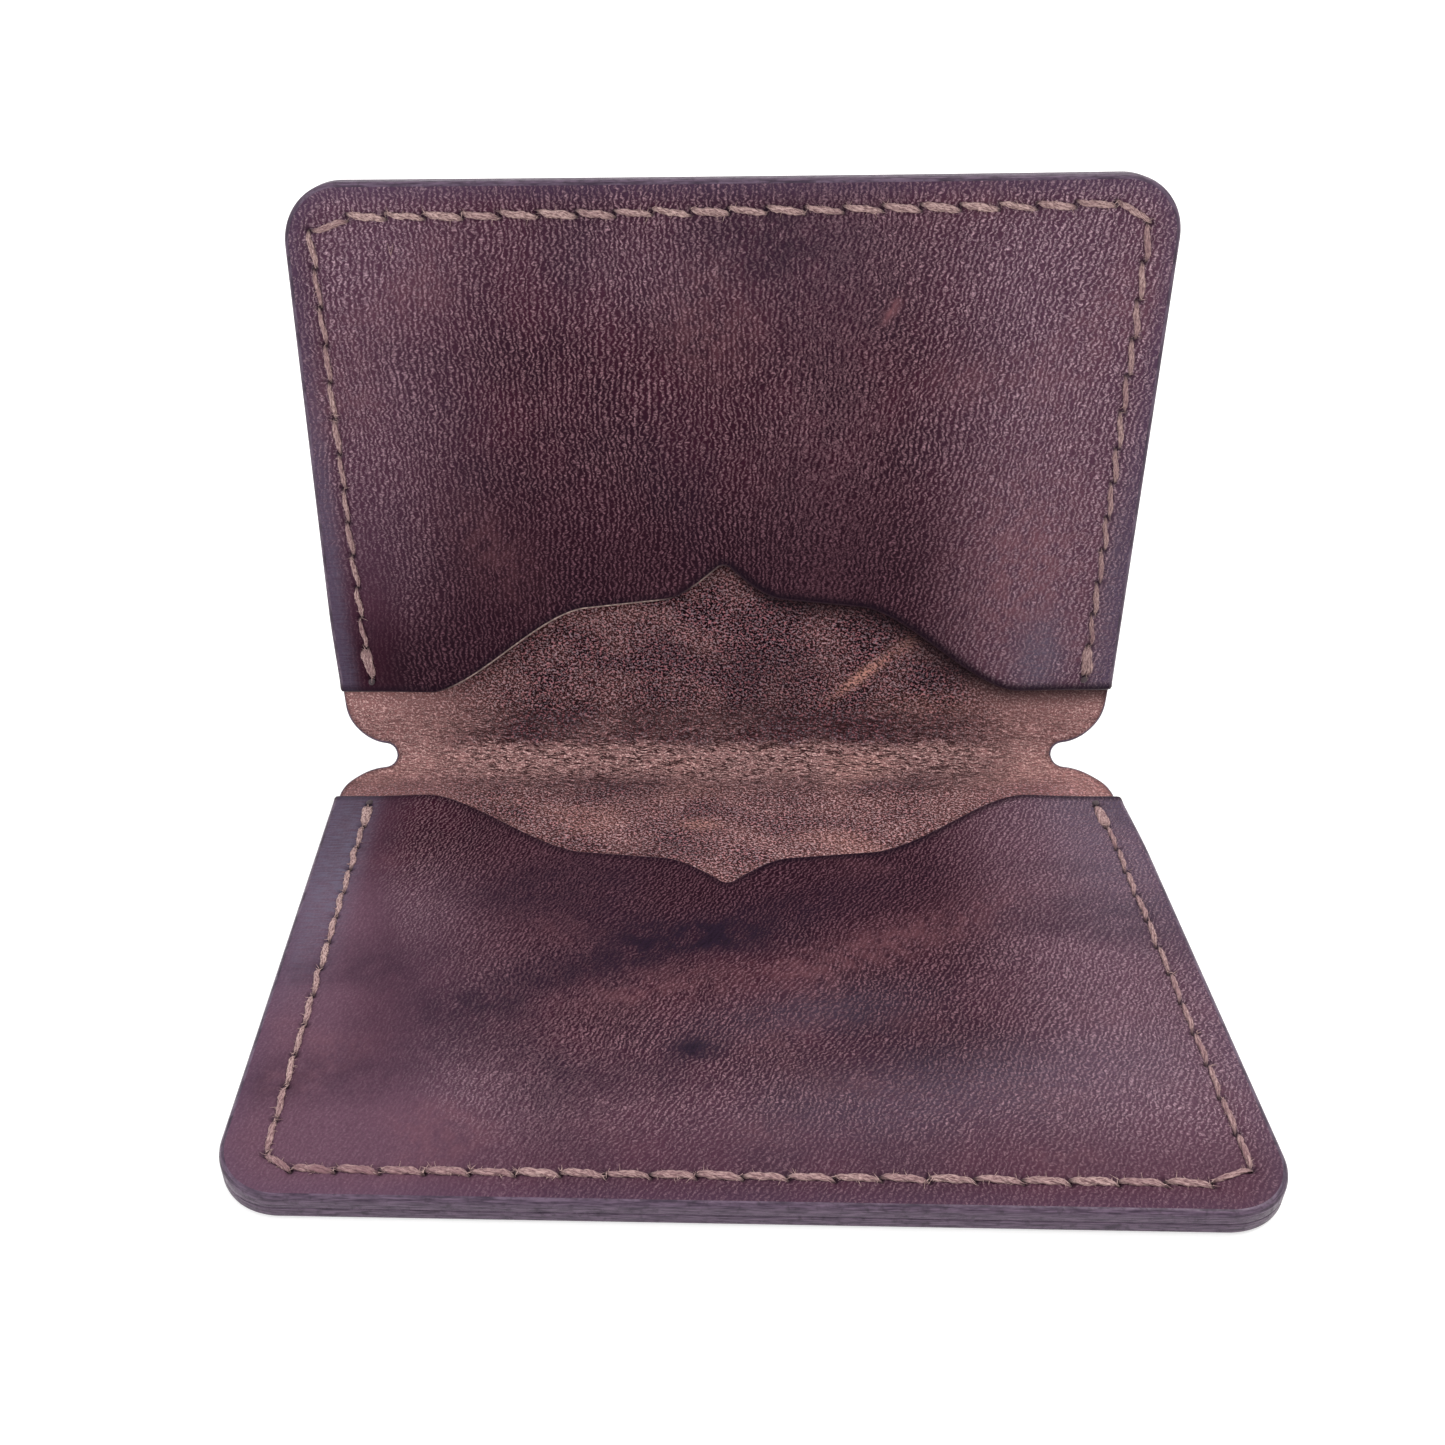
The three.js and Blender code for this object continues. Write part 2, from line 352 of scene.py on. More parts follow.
def grain_leather(name, leaf):
    """Dark grain: fine light ridges over burgundy whose paleness is partly a painted highlight, painted
    sheen and glints, smoky places, and polished margins with painted blue-grey sheen.
    """
    grain = GRAINS[leaf]
    finish = Finish(name, {"Specular IOR Level": 0.06, "IOR": 1.45})
    where = finish.place()
    drift = finish.wandering(finish.wandering(where, 0.08, 3.0), 0.6, 0.3)
    upright = ridges(finish, drift, grain["size"], grain["turn"])
    leaning = ridges(finish, drift, grain["size"], grain["leaning"])
    lines = finish.node(
        "ShaderNodeMix", {"data_type": "FLOAT"}, {0: finish.field("lean"), 2: upright, 3: leaning}
    ).outputs[0]
    pores = finish.noise(where, 3.6, 2.0, 0.6)
    broken = finish.ramp(finish.noise(where, 2.0, 2.0, 0.6), 0.36, 0.6, 0.35, 1.0)
    # Paler, hazier places on the grain are painted sheen: reflection of the lights painted into the colour.
    haze, deep = finish.field("haze"), finish.field("deep")
    open_grain = finish.ramp(finish.field("smooth"), 0, 1, grain["strength"], 0.1)
    shown = finish.product(lines, broken, open_grain)

    blotch = finish.noise(where, 0.09, 4.0, 0.6)
    burgundy = finish.mix(finish.ramp(blotch, 0.35, 0.65), tone(40, 14, 29), tone(56, 20, 36))
    # Painted sheen: the ground turns paler where the lights would reflect.
    with_painted_sheen = finish.mix(haze, burgundy, grain["sheen_ground"])
    ground = finish.mix(finish.product(deep, 0.8), with_painted_sheen, tone(31, 10, 22))
    mottling = finish.product(
        finish.ramp(pores, 0.4, 0.62, 0.0, 0.32), finish.ramp(finish.field("smooth"), 0, 1, 1.0, 0.6)
    )
    speckled = finish.mix(mottling, ground, tone(26, 12, 22))
    # Pale crests of the ridges: grain pattern with a painted highlight, paler still under painted sheen.
    open_crest_highlight = finish.mix(haze, tone(162, 121, 131), grain["crest_highlight"])
    crest_highlight = finish.mix(deep, open_crest_highlight, tone(130, 89, 102))
    ridged = finish.mix(shown, speckled, crest_highlight)
    # Painted highlights: small bright glints on the grain, strongest under painted sheen.
    glint_spots = finish.ramp(finish.noise(where, 5.0, 1.0), 0.62, 0.74, 0.0, 0.5)
    glints = finish.product(glint_spots, open_grain, finish.ramp(haze, 0, 1, 0.4, 1.0))
    lit = finish.mix(glints, ridged, finish.mix(haze, crest_highlight, tone(190, 164, 176)))
    patchy = finish.ramp(finish.noise(where, 0.5, 5.0, 0.7), 0.38, 0.6, 0.15, 0.95)
    rubbed = finish.mix(finish.product(finish.field("rubbed"), patchy), lit, tone(132, 86, 92))
    cloudy = finish.ramp(finish.noise(where, 0.4, 5.0, 0.7), 0.36, 0.6, 0.45, 1.0)
    stained = finish.mix(finish.product(finish.field("stain"), cloudy), rubbed, tone(37, 24, 39))
    # Painted sheen: a streaky blue-grey reflection in some places near the edges.
    strokes = finish.noise(finish.stretched(where, (0.5, 4.0, 0.0)), 1.0, 2.0, 0.6)
    streaks = finish.ramp(strokes, 0.35, 0.65, 0.45, 1.0)
    with_blue_grey_sheen = finish.mix(finish.product(finish.field("bloom"), streaks), stained, tone(98, 94, 112))
    # A paler blue-grey margin along the edges: smoother leather with its sheen painted in.
    trim = finish.ramp(finish.field("border"), 0.3, 3.0, grain["margin"], 0.0)
    margin = finish.mix(trim, with_blue_grey_sheen, tone(74, 60, 84))
    # A darker band inside the pocket mouth: dark burnish together with painted shade.
    brim = finish.product(finish.ramp(finish.field("mouth"), 0.3, 1.6, 0.9, 0.0), finish.field("brim"))
    mouth = finish.mix(brim, margin, tone(26, 14, 26))
    # Painted shade in and around the stitch holes.
    hole_shaded = finish.mix(finish.ramp(finish.field("stitch"), 0.1, 0.6, 0.5, 0.0), mouth, tone(30, 20, 32))
    finish.colour(hole_shaded)

    dull = finish.ramp(blotch, 0.25, 0.75, 0.42, 0.52)
    finish.roughness(finish.calc("ADD", dull, finish.ramp(pores, 0.3, 0.7, 0.0, 0.12)))
    pebbles = finish.bump(shown, 0.16)
    swells = finish.noise(where, 0.55, 3.0, 0.6)
    finish.relief(finish.bump(swells, 0.16, finish.bump(pores, 0.035, pebbles)))
    return finish.material


def flesh_leather(name):
    """The napped inside of the cover: tan speckled with short dark fibres, creased along the fold, its
    brightness a painted light level, with painted shade in the creases and a painted shadow under the
    pocket mouths.
    """
    dull = {"Specular IOR Level": 0.04, "IOR": 1.45, "Sheen Weight": 0.02, "Sheen Roughness": 0.6}
    finish = Finish(name, dull)
    where = finish.place()
    drift = finish.wandering(where, 0.4, 1.4)
    fleck = finish.noise(finish.stretched(drift, (2.6, 3.7, 0.0), 0.3), 1.0, 2.0, 0.6)
    nap = finish.noise(where, 4.6, 1.5, 0.6)
    hue = finish.noise(where, 2.6, 1.0)
    blotch = finish.noise(finish.stretched(where, (0.09, 0.14, 0.0)), 1.0, 4.0, 0.6)
    crease = finish.noise(finish.stretched(drift, (0.5, 3.0, 0.0), 0.1), 1.0, 1.5, 0.5)
    off_crease = finish.calc("ABSOLUTE", finish.calc("SUBTRACT", crease, 0.46))
    cracks = finish.ramp(off_crease, 0.012, 0.055, 1.0, 0.0)
    # The first field here is a painted light level, not the leather's own colour: full at the fold, lower
    # with painted shade away from it.
    tan, fold = finish.field("tan"), finish.field("fold")
    polish = finish.ramp(finish.field("smooth"), 0, 1, 1.0, 0.75)
    calm = finish.product(polish, finish.ramp(fold, 0.2, 1, 1.0, 0.7))
    level = finish.calc("ADD", tan, finish.ramp(blotch, 0.3, 0.7, -0.22, 0.22))

    low = finish.mix(level, tone(12, 1, 7), tone(122, 74, 74))
    light = finish.mix(finish.ramp(hue, 0.4, 0.6), tone(178, 112, 120), tone(158, 131, 141))
    high = finish.mix(level, light, tone(246, 200, 195))
    fibres = finish.calc("MULTIPLY_ADD", fleck, 0.55, finish.product(nap, 0.45))
    speckle = finish.ramp(fibres, 0.46, 0.59)
    gentle = finish.calc("MULTIPLY_ADD", finish.calc("SUBTRACT", speckle, 0.5), calm, 0.5)
    napped = finish.mix(gentle, low, high)
    redder = finish.mix(finish.product(finish.field("smooth"), 0.3), napped, tone(182, 130, 128))
    scuff = finish.product(finish.field("rubbed"), finish.ramp(fleck, 0.44, 0.54, 0.1, 1.0))
    rubbed = finish.mix(scuff, redder, tone(226, 164, 148))
    # Painted shade in the fold's creases, on top of their bump.
    crease_shaded = finish.mix(finish.product(cracks, 0.95, fold), rubbed, tone(58, 30, 33))
    edge = finish.mix(finish.ramp(finish.field("border"), 0.15, 1.0, 0.6, 0.0), crease_shaded, tone(92, 64, 66))
    shaded = finish.mix(finish.product(finish.field("stain"), 0.65), edge, tone(52, 36, 44))
    # Painted shadow on the flesh under the pocket mouths, fading with distance from the mouth.
    mouth_shadowed = finish.mix(finish.ramp(finish.field("slot"), 0.0, 1.5, 0.92, 0.0), shaded, tone(34, 22, 28))
    finish.colour(mouth_shadowed)
    finish.roughness(finish.ramp(nap, 0.3, 0.7, 0.72, 0.95))
    rough = finish.bump(speckle, 0.12)
    finish.relief(finish.bump(finish.product(cracks, fold), -0.2, rough))
    return finish.material


def burnished_edge(name, light, dark):
    """Cut leather rubbed smooth and waxed, streaked along the edge, darker along the pocket mouths, and
    pale where an unburnished cut catches the light: partly its own colour, partly a painted highlight.
    """
    finish = Finish(name, {"Specular IOR Level": 0.25, "IOR": 1.45})
    where = finish.place()
    streaks = finish.noise(finish.stretched(where, (0.35, 0.35, 7.0)), 1.0, 4.0, 0.65)
    grime = finish.noise(where, 1.6, 3.0, 0.6)
    ground = finish.mix(finish.ramp(streaks, 0.34, 0.66), dark, light)
    soiled = finish.mix(finish.ramp(grime, 0.5, 0.75, 0.0, 0.6), ground, tone(42, 32, 42))
    lip = finish.mix(finish.ramp(finish.field("mouth"), 0.6, 1.6, 0.9, 0.0), soiled, tone(40, 24, 32))
    # Painted highlight where an unburnished cut on the rim catches the light, mixed with its own pale
    # colour.
    raw = finish.product(finish.field("raw"), finish.ramp(grime, 0.3, 0.6, 1.0, 0.4))
    finish.colour(finish.mix(raw, lip, tone(206, 182, 172)))
    finish.roughness(finish.ramp(grime, 0.3, 0.7, 0.34, 0.5))
    finish.relief(finish.bump(grime, 0.06, finish.bump(streaks, 0.05)))
    return finish.material


def waxed_thread(name):
    """Three-ply linen: fine fibres along each ply, dusty tan, with painted shade where each ply dives into
    the leather.
    """
    finish = Finish(name, {"Specular IOR Level": 0.2, "Sheen Weight": 0.1})
    along = finish.place("twist")
    fibre = finish.noise(finish.stretched(along, (2.2, 7.0, 5.0)), 1.0, 2.0, 0.65)
    grime = finish.noise(finish.place(), 0.8, 3.0, 0.6)
    ground = finish.mix(finish.ramp(fibre, 0.38, 0.6), tone(106, 80, 80), tone(198, 168, 162))
    dirty = finish.product(finish.field("soil"), finish.ramp(grime, 0.3, 0.7, 0.55, 1.0))
    worn = finish.mix(dirty, ground, finish.mix(fibre, tone(92, 62, 70), tone(150, 112, 116)))
    # Painted shade where the thread dives into the leather.
    shaded_at_dive = finish.mix(finish.ramp(finish.field("sunk"), 0.0, 1.0, 0.0, 0.85), worn, tone(52, 36, 42))
    finish.colour(finish.mix(finish.field("melted"), shaded_at_dive, tone(74, 62, 66)))
    finish.roughness(finish.ramp(fibre, 0.3, 0.7, 0.85, 0.65))
    finish.relief(finish.bump(fibre, 0.07))
    return finish.material


# ---------------------------------------------------------------- shapes in a leaf's frame
def smooth(value, start, end):
    share = np.clip((np.asarray(value, float) - start) / (end - start), 0, 1)
    return share * share * (3 - 2 * share)


def hump(x, y, centre, reach, turn=0.0):
    """A soft round patch, 1 at its centre, with its own reach along and across."""
    dx, dy = x - centre[0], y - centre[1]
    cos, sin = math.cos(turn), math.sin(turn)
    along, across = dx * cos + dy * sin, dy * cos - dx * sin
    return np.exp(-((along / reach[0]) ** 2) - (across / reach[1]) ** 2)


def wave(x, y, size, seed):
    """Smooth noise from about -1 to 1 with features of that size."""
    sizes = size if isinstance(size, tuple) else (size, size)
    return np.array([noise.noise(Vector((a / sizes[0], b / sizes[1], seed))) for a, b in zip(x, y)])


def cut_by_hand(x, y, leaf):
    """Each leaf is a little wider and longer at one of its corners."""
    share = (x + HALF_WIDTH) / (2 * HALF_WIDTH)
    wider, start, longer, growth = OUT_OF_SQUARE[leaf]
    cut_x = x + wider * smooth(share, 0.5, 1) * smooth(-y, 6, 20)
    cut_y = y - (start + longer * share**growth) * smooth(y, -20, OUTER_Y)
    return cut_x, cut_y


def placed(points, leaf):
    """Leaf points in metres in the row frame, rolled round the fold past the start of the roll."""
    x, y, z = np.asarray(points, float).T
    x, y = cut_by_hand(x, y, leaf)
    turn = np.clip((y + HALF_FOLD) / (2 * HALF_FOLD), 0, 1) * BEND
    rolled = y > -HALF_FOLD
    rolled_y = np.where(rolled, -HALF_FOLD + (ROLL_RADIUS - z) * np.sin(turn), y)
    rolled_z = np.where(rolled, ROLL_RADIUS - (ROLL_RADIUS - z) * np.cos(turn), z)
    matrix = np.array(LEAVES[leaf])
    return (np.stack([x, rolled_y, rolled_z], 1) @ matrix[:3, :3].T + matrix[:3, 3]) * MM


def edge_distance(x, y):
    """How far inside the leaf's sides and rounded outer end a point is."""
    over_x = np.abs(x) - (HALF_WIDTH - CORNER_RADIUS)
    over_y = (OUTER_Y + CORNER_RADIUS) - y
    outside = np.hypot(np.maximum(over_x, 0), np.maximum(over_y, 0))
    return CORNER_RADIUS - outside - np.minimum(np.maximum(over_x, over_y), 0)


def arc(centre, radius, start, end):
    angles = np.linspace(start, end, 48)
    return np.stack([centre[0] + radius * np.cos(angles), centre[1] + radius * np.sin(angles)], 1)


def bezier(controls):
    t = np.linspace(0, 1, 60)[:, None]
    a, b, c, d = (np.array(point) for point in controls)
    return a * (1 - t) ** 3 + 3 * b * t * (1 - t) ** 2 + 3 * c * t * t * (1 - t) + d * t**3


def resampled(points, step):
    points = np.asarray(points, float)
    length = np.concatenate([[0], np.cumsum(np.linalg.norm(np.diff(points, axis=0), axis=1))])
    at = np.linspace(0, length[-1], max(2, round(length[-1] / step) + 1))
    return np.stack([np.interp(at, length, points[:, axis]) for axis in range(2)], 1)


def flipped(points):
    """The same stretch mirrored to the other side and run the other way."""
    return (np.asarray(points) * (-1, 1))[::-1]


def outline_of(stretches):
    """A closed outline, anticlockwise, from (points, low radius, high radius) stretches end to end."""
    points, low, high = [], [], []
    for stretch, low_radius, high_radius in stretches:
        fresh = resampled(stretch, OUTLINE_STEP)[:-1]
        points.append(fresh)
        low.append(np.full(len(fresh), low_radius))
        high.append(np.full(len(fresh), high_radius))
    points = np.concatenate(points)
    ahead, behind = np.roll(points, -1, 0), np.roll(points, 1, 0)
    tangent = ahead - behind
    tangent /= np.linalg.norm(tangent, axis=1)[:, None]
    inward = np.stack([-tangent[:, 1], tangent[:, 0]], 1)
    low, high = eased(np.concatenate(low)), eased(np.concatenate(high))
    return {"points": points, "inward": inward, "low": low, "high": high}


def eased(radii):
    """Edge radii that change over a few points, but stay 0 where the edge is a plain cut."""
    soft = sum(np.roll(radii, shift) for shift in range(-2, 3)) / 5
    return np.where(radii == 0, 0, soft)


def side_and_outer_end(top_y):
    """The left side downwards from top_y, the rounded outer end and the right side up again."""
    arc_x, arc_y = HALF_WIDTH - CORNER_RADIUS, OUTER_Y + CORNER_RADIUS
    corner = arc((arc_x, arc_y), CORNER_RADIUS, -math.pi / 2, 0)
    right = np.vstack([[(0, OUTER_Y)], corner, [(HALF_WIDTH, top_y)]])
    return np.vstack([flipped(right), right[1:]])


def cover_outline():
    flare_x = HALF_WIDTH - FLARE_RADIUS
    notch_x = HALF_WIDTH - NOTCH_DEPTH + NOTCH_RADIUS
    flare_y = HALF_FOLD - math.sqrt((FLARE_RADIUS + NOTCH_RADIUS) ** 2 - (notch_x - flare_x) ** 2)
    touch = math.atan2(HALF_FOLD - flare_y, notch_x - flare_x)
    flare = arc((flare_x, flare_y), FLARE_RADIUS, 0, touch)
    notch = arc((notch_x, HALF_FOLD), NOTCH_RADIUS, math.pi + touch, math.pi)
    waist = np.vstack([flare, notch[1:]])
    cut_x = notch_x - NOTCH_RADIUS
    outline = outline_of(
        [
            (side_and_outer_end(flare_y), OUTER_ROUND, INNER_ROUND),
            (waist, *WAIST_ROUND),
            ([(cut_x, HALF_FOLD), (-cut_x, HALF_FOLD)], PLAIN_CUT, PLAIN_CUT),
            (flipped(waist), *WAIST_ROUND),
        ]
    )
    # The two ends of the cut slide along it, so that both halves of the cover meet in one plane.
    x, y = outline["points"].T
    for end in np.flatnonzero(np.isclose(y, HALF_FOLD) & (np.abs(x) > cut_x - 0.01)):
        outline["inward"][end] = (-np.sign(x[end]), 0)
        outline["low"][end], outline["high"][end] = 0.3, 0.3
    return outline


def mouth_half():
    """The mouth from the middle to the right shoulder."""
    drops = [bezier(POINT_CURVE), bezier(RISE_CURVE), [(HALF_WIDTH - SHOULDER_ROUND, 0.0)]]
    x, drop = np.vstack(drops).T
    blunt = POINT_CURVE[0][1] - TIP_RADIUS
    return np.stack([x, MOUTH_Y - np.minimum(drop, blunt - 0.05 * np.cos(x))], 1)


def pocket_outline():
    half = mouth_half()
    shoulder_y = MOUTH_Y - SHOULDER_ROUND
    corner = arc((HALF_WIDTH - SHOULDER_ROUND, shoulder_y), SHOULDER_ROUND, 0, math.pi / 2)
    mouth = np.vstack([corner, half[::-1][1:], flipped(half[::-1])[1:], flipped(corner)])
    return outline_of([(side_and_outer_end(shoulder_y), INNER_ROUND, OUTER_ROUND), (mouth, *MOUTH_ROUND)])


def mouth_line():
    outline = pocket_outline()["points"]
    return outline[(outline[:, 1] > MOUTH_Y - 19) & (np.abs(outline[:, 0]) < HALF_WIDTH - 0.3)]


class Seam:
    """One leaf's row of stitch holes, in sewing order."""

    def __init__(self, leaf, chance):
        first_y = MOUTH_Y - MOUTH_HOLE
        last_y = first_y - SIDE_STITCHES * STITCH_PITCH
        end_x = ROW_STITCHES * STITCH_PITCH / 2
        side, row = np.linspace(0, 1, SIDE_STITCHES + 1), np.linspace(0, 1, ROW_STITCHES + 1)
        first, outer, second = (np.array(pair, float) for pair in SEAM_INSETS[leaf])
        left = -HALF_WIDTH + first[0] + side * (first[1] - first[0])
        right = HALF_WIDTH - second[0] - side * (second[1] - second[0])
        down = np.stack([left, first_y + side * (last_y - first_y)], 1)
        across = np.stack([-end_x + row * 2 * end_x, OUTER_Y + outer[0] + row * (outer[1] - outer[0])], 1)
        up = np.stack([right, last_y + side * (first_y - last_y)], 1)
        holes = np.vstack([down, across, up])
        self.holes = holes + chance.uniform(-HOLE_STRAY, HOLE_STRAY, holes.shape)
        runs = [0] * len(down) + [1] * len(across) + [2] * len(up)
        ways = np.radians(np.array([-90, 0, 90])[runs])
        leans = np.radians(SLIT_LEAN) * np.array(SLIT_LEANS[leaf])[runs]
        self.runs = runs
        self.slits = np.stack([np.cos(ways + leans), np.sin(ways + leans)], 1)
        self.reach = self.slits * np.array(SLIT_REACH[leaf])[runs][:, None]

    def distance(self, x, y):
        """From each point to the seam's line."""
        points = np.stack([x, y], 1)
        best = np.full(len(points), 1e3)
        for start, end in zip(self.holes[:-1], self.holes[1:]):
            step = end - start
            share = np.clip((points - start) @ step / (step @ step), 0, 1)
            best = np.minimum(best, np.linalg.norm(points - start - share[:, None] * step, axis=1))
        return best

    def hole_distance(self, x, y):
        """From each point to the nearest hole, in which a slit counts as long as it is."""
        best = np.full(len(x), 1e3)
        for hole, slit in zip(self.holes, self.slits):
            dx, dy = x - hole[0], y - hole[1]
            along, across = dx * slit[0] + dy * slit[1], dy * slit[0] - dx * slit[1]
            best = np.minimum(best, np.hypot(along * 0.6, across))
        return best

    def furrow(self, x, y, depth, width, hole_depth):
        """How deep the thread has pulled the leather in."""
        line = depth * np.exp(-((self.distance(x, y) / width) ** 2))
        return line + hole_depth * np.exp(-((self.hole_distance(x, y) / 0.36) ** 2))


def inside(ring, x, y):
    found = np.zeros(len(x), bool)
    for (ax, ay), (bx, by) in zip(ring, np.roll(ring, -1, 0)):
        if ay != by:
            crosses = (ay > y) != (by > y)
            found ^= crosses & (x < (bx - ax) * (y - ay) / (by - ay) + ax)
    return found


def scattered(ring, zones, chance):
    """Slightly irregular points inside a ring. Each zone is (spacing, test of which points it takes)."""
    tree = KDTree(len(ring))
    for index, point in enumerate(ring):
        tree.insert((point[0], point[1], 0), index)
    tree.balance()
    low, high = ring.min(0), ring.max(0)
    kept = []
    for spacing, wanted in zones:
        rows = np.arange(low[1], high[1], spacing * math.sqrt(3) / 2)
        columns = np.arange(low[0], high[0], spacing)
        x, y = np.meshgrid(columns, rows)
        x = x + (np.arange(len(rows)) % 2)[:, None] * spacing / 2
        x, y = x.ravel(), y.ravel()
        x = x + chance.uniform(-0.12, 0.12, len(x)) * spacing
        y = y + chance.uniform(-0.12, 0.12, len(y)) * spacing
        take = wanted(x, y)
        x, y = x[take], y[take]
        take = inside(ring, x, y)
        x, y = x[take], y[take]
        clear = [tree.find((a, b, 0))[2] > 0.55 * min(spacing, 0.8) for a, b in zip(x, y)]
        kept.append(np.stack([x, y], 1)[clear])
    return np.vstack(kept)


def triangles_in(ring, inner):
    """Triangles over a ring and the points in it, as indices into ring then inner."""
    count = len(ring)
    points = [Vector(point) for point in np.vstack([ring, inner])]
    edges = [(index, (index + 1) % count) for index in range(count)]
    _, _, faces, origin, _, _ = delaunay_2d_cdt(points, edges, [], 1, 1e-7)
    return [[origin[corner][0] for corner in face] for face in faces]


ROUND = np.radians(np.linspace(0, 90, 5))


def leather_sheet(name, leaf, outline, heights, shifts, zones, finishes, fields, chance):
    """A closed sheet of leather with rounded edges.

    heights and shifts are for its low and high faces: the height at the edge, and a function of x and y
    that moves the face. fields gives the values that the materials read at each point.
    """
    rings = []
    low, high = outline["low"], outline["high"]
    for angle in ROUND:
        rings.append((low * (1 - np.sin(angle)), heights[0] + low * (1 - np.cos(angle)), 0))
    for angle in ROUND:
        rings.append((high * (1 - np.cos(angle)), heights[1] - high * (1 - np.sin(angle)), 1))
    count, flat, rise = len(outline["points"]), [], []
    for inset, height, face in rings:
        ring = outline["points"] + outline["inward"] * inset[:, None]
        flat.append(np.column_stack([ring, height]))
        rise.append(shifts[face](ring[:, 0], ring[:, 1]))
    quads = [
        (k * count + i, k * count + (i + 1) % count, (k + 1) * count + (i + 1) % count, (k + 1) * count + i)
        for k in range(len(rings) - 1)
        for i in range(count)
    ]
    faces, looks = list(quads), [1] * len(quads)
    for face, ring_at in ((0, 0), (1, len(rings) - 1)):
        ring = flat[ring_at][:, :2]
        inner = scattered(ring, zones[face], chance)
        start = sum(len(part) for part in flat)
        flat.append(np.column_stack([inner, np.full(len(inner), heights[face])]))
        rise.append(shifts[face](inner[:, 0], inner[:, 1]))
        for corners in triangles_in(ring, inner):
            corners = [c + ring_at * count if c < count else c - count + start for c in corners]
            faces.append(corners if face else corners[::-1])
            looks.append(2 * face)
    flat = np.vstack(flat)
    flat[:, 2] += np.concatenate(rise)
    mesh = bpy.data.meshes.new(name)
    mesh.from_pydata(placed(flat, leaf), [], faces)
    for finish in finishes:
        mesh.materials.append(finish)
    mesh.polygons.foreach_set("material_index", looks)
    keep_field(mesh, "flat", flat)
    for key, values in fields(flat).items():
        keep_field(mesh, key, values)
    return tidied(mesh)


def keep_field(mesh, key, values):
    values = np.asarray(values, np.float32)
    kind, slot = ("FLOAT_VECTOR", "vector") if values.ndim == 2 else ("FLOAT", "value")
    mesh.attributes.new(key, kind, "POINT").data.foreach_set(slot, values.ravel())


def tidied(mesh):
    """The mesh as a smooth-shaded object, without doubled points."""
    build = bmesh.new()
    build.from_mesh(mesh)
    bmesh.ops.remove_doubles(build, verts=build.verts, dist=1e-6)
    bmesh.ops.dissolve_degenerate(build, edges=build.edges, dist=1e-7)
    build.to_mesh(mesh)
    build.free()
    mesh.polygons.foreach_set("use_smooth", [True] * len(mesh.polygons))
    mesh.set_sharp_from_angle(angle=math.radians(62))
    piece = bpy.data.objects.new(mesh.name, mesh)
    bpy.context.scene.collection.objects.link(piece)
    return piece


def nearest(points, targets):
    tree = KDTree(len(targets))
    for index, target in enumerate(targets):
        tree.insert((target[0], target[1], 0), index)
    tree.balance()
    return np.array([tree.find((x, y, 0))[2] for x, y in points[:, :2]])


# ---------------------------------------------------------------- the leather pieces
def pocket_lift(x, y):
    """The pocket's rise over its cards, most towards the mouth."""
    return smooth(edge_distance(x, y), 4.5, 14) * (0.08 + GAPE * smooth(y, OUTER_Y + 12, MOUTH_Y - 14))


